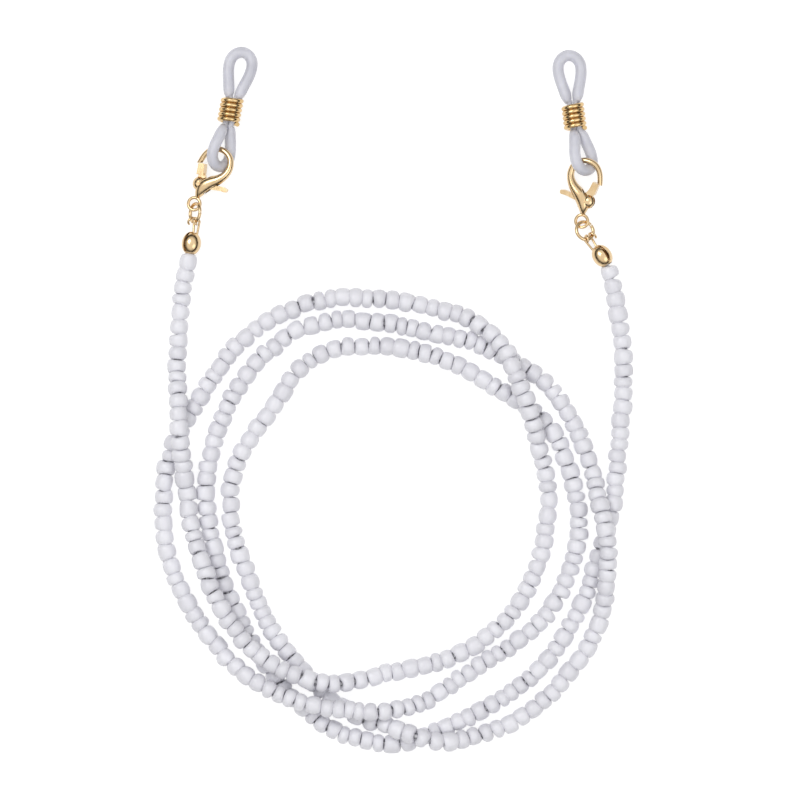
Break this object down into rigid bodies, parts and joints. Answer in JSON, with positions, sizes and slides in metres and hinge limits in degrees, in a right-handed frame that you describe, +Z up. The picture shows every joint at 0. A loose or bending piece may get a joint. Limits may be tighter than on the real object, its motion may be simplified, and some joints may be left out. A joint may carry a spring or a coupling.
{
  "type": "eyeglass retainer strap",
  "caption": "Beaded eyeglass retainer strap lying in loose loops, with a lobster clasp and a coil-pinched silicone temple loop at each end.",
  "frame": {"origin": "on the surface the strap lies on, midway between the two end fittings", "axes": "+X from the left end fitting to the right one, +Y away from the strand's loops, +Z up"},
  "size_m": [0.0767, 0.1131, 0.0064],
  "materials": {
    "thread": "matt nylon thread",
    "bead": "matt opaque white glass",
    "gold": "polished pale gold plating",
    "coil_gold": "polished gold wire",
    "spring_steel": "bright spring strip",
    "silicone": "translucent matt silicone"
  },
  "bodies": {
    "strand": {"thread": "thread", "beads_run_01": "bead", "beads_run_02": "bead", "beads_run_03": "bead", "beads_run_04": "bead", "beads_run_05": "bead", "beads_run_06": "bead", "beads_run_07": "bead", "beads_run_08": "bead", "beads_run_09": "bead", "beads_run_10": "bead", "beads_run_11": "bead", "beads_run_12": "bead", "bead_tip_left": "gold", "crimp_bead_left": "gold", "bead_tip_right": "gold", "crimp_bead_right": "gold"},
    "jump_ring_left": {"jump_ring_left": "gold"},
    "clasp_left": {"clasp_body_left": "gold", "clasp_rivet_left": "gold", "clasp_spring_left": "spring_steel"},
    "gate_left": {"clasp_gate_left": "gold"},
    "loop_left": {"silicone_loop_left": "silicone"},
    "coil_left": {"coil_wrap_left": "coil_gold"},
    "jump_ring_right": {"jump_ring_right": "gold"},
    "clasp_right": {"clasp_body_right": "gold", "clasp_rivet_right": "gold", "clasp_spring_right": "spring_steel"},
    "gate_right": {"clasp_gate_right": "gold"},
    "loop_right": {"silicone_loop_right": "silicone"},
    "coil_right": {"coil_wrap_right": "coil_gold"}
  },
  "joints": [
    {"name": "jump_ring_swing_left", "type": "hinge", "parent": "strand", "child": "jump_ring_left", "pos_m": [-0.03258, -0.0105, 0.00153], "axis": [0.5407, -0.0651, 0.8387], "range_deg": [-30, 30]},
    {"name": "clasp_swing_left", "type": "hinge", "parent": "jump_ring_left", "child": "clasp_left", "pos_m": [-0.03248, -0.0077, 0.00116], "axis": [0.5517, 0.2365, 0.7999], "range_deg": [-25, 25]},
    {"name": "gate_open_left", "type": "hinge", "parent": "clasp_left", "child": "gate_left", "pos_m": [-0.03164, -0.00449, 0.00138], "axis": [0.2838, -0.0166, -0.9587], "range_deg": [0, 20], "stiffness_Nm_per_rad": 0.002, "deforming": ["clasp_spring_left"]},
    {"name": "loop_swing_left", "type": "hinge", "parent": "clasp_left", "child": "loop_left", "pos_m": [-0.02843, 0.00102, 0.00224], "axis": [-0.9393, 0.1961, -0.2815], "range_deg": [-12, 12]},
    {"name": "coil_slide_left", "type": "slide", "parent": "loop_left", "child": "coil_left", "axis": [0.1805, 0.9836, 0], "range_m": [0, 0.0025], "deforming": ["silicone_loop_left"]},
    {"name": "jump_ring_swing_right", "type": "hinge", "parent": "strand", "child": "jump_ring_right", "pos_m": [0.03064, -0.0131, 0.00123], "axis": [0.7314, 0.4946, -0.4695], "range_deg": [-30, 30]},
    {"name": "clasp_swing_right", "type": "hinge", "parent": "jump_ring_right", "child": "clasp_right", "pos_m": [0.02929, -0.0106, 0.00108], "axis": [0.8353, 0.3036, -0.4583], "range_deg": [-25, 25]},
    {"name": "gate_open_right", "type": "hinge", "parent": "clasp_right", "child": "gate_right", "pos_m": [0.03031, -0.00732, 0.00171], "axis": [-0.2377, -0.1218, 0.9637], "range_deg": [0, 20], "stiffness_Nm_per_rad": 0.002, "deforming": ["clasp_spring_right"]},
    {"name": "loop_swing_right", "type": "hinge", "parent": "clasp_right", "child": "loop_right", "pos_m": [0.02946, -0.00077, 0.00232], "axis": [0.9555, 0.1492, 0.2546], "range_deg": [-12, 12]},
    {"name": "coil_slide_right", "type": "slide", "parent": "loop_right", "child": "coil_right", "axis": [-0.1305, 0.9914, 0], "range_m": [0, 0.0025], "deforming": ["silicone_loop_right"]}
  ]
}
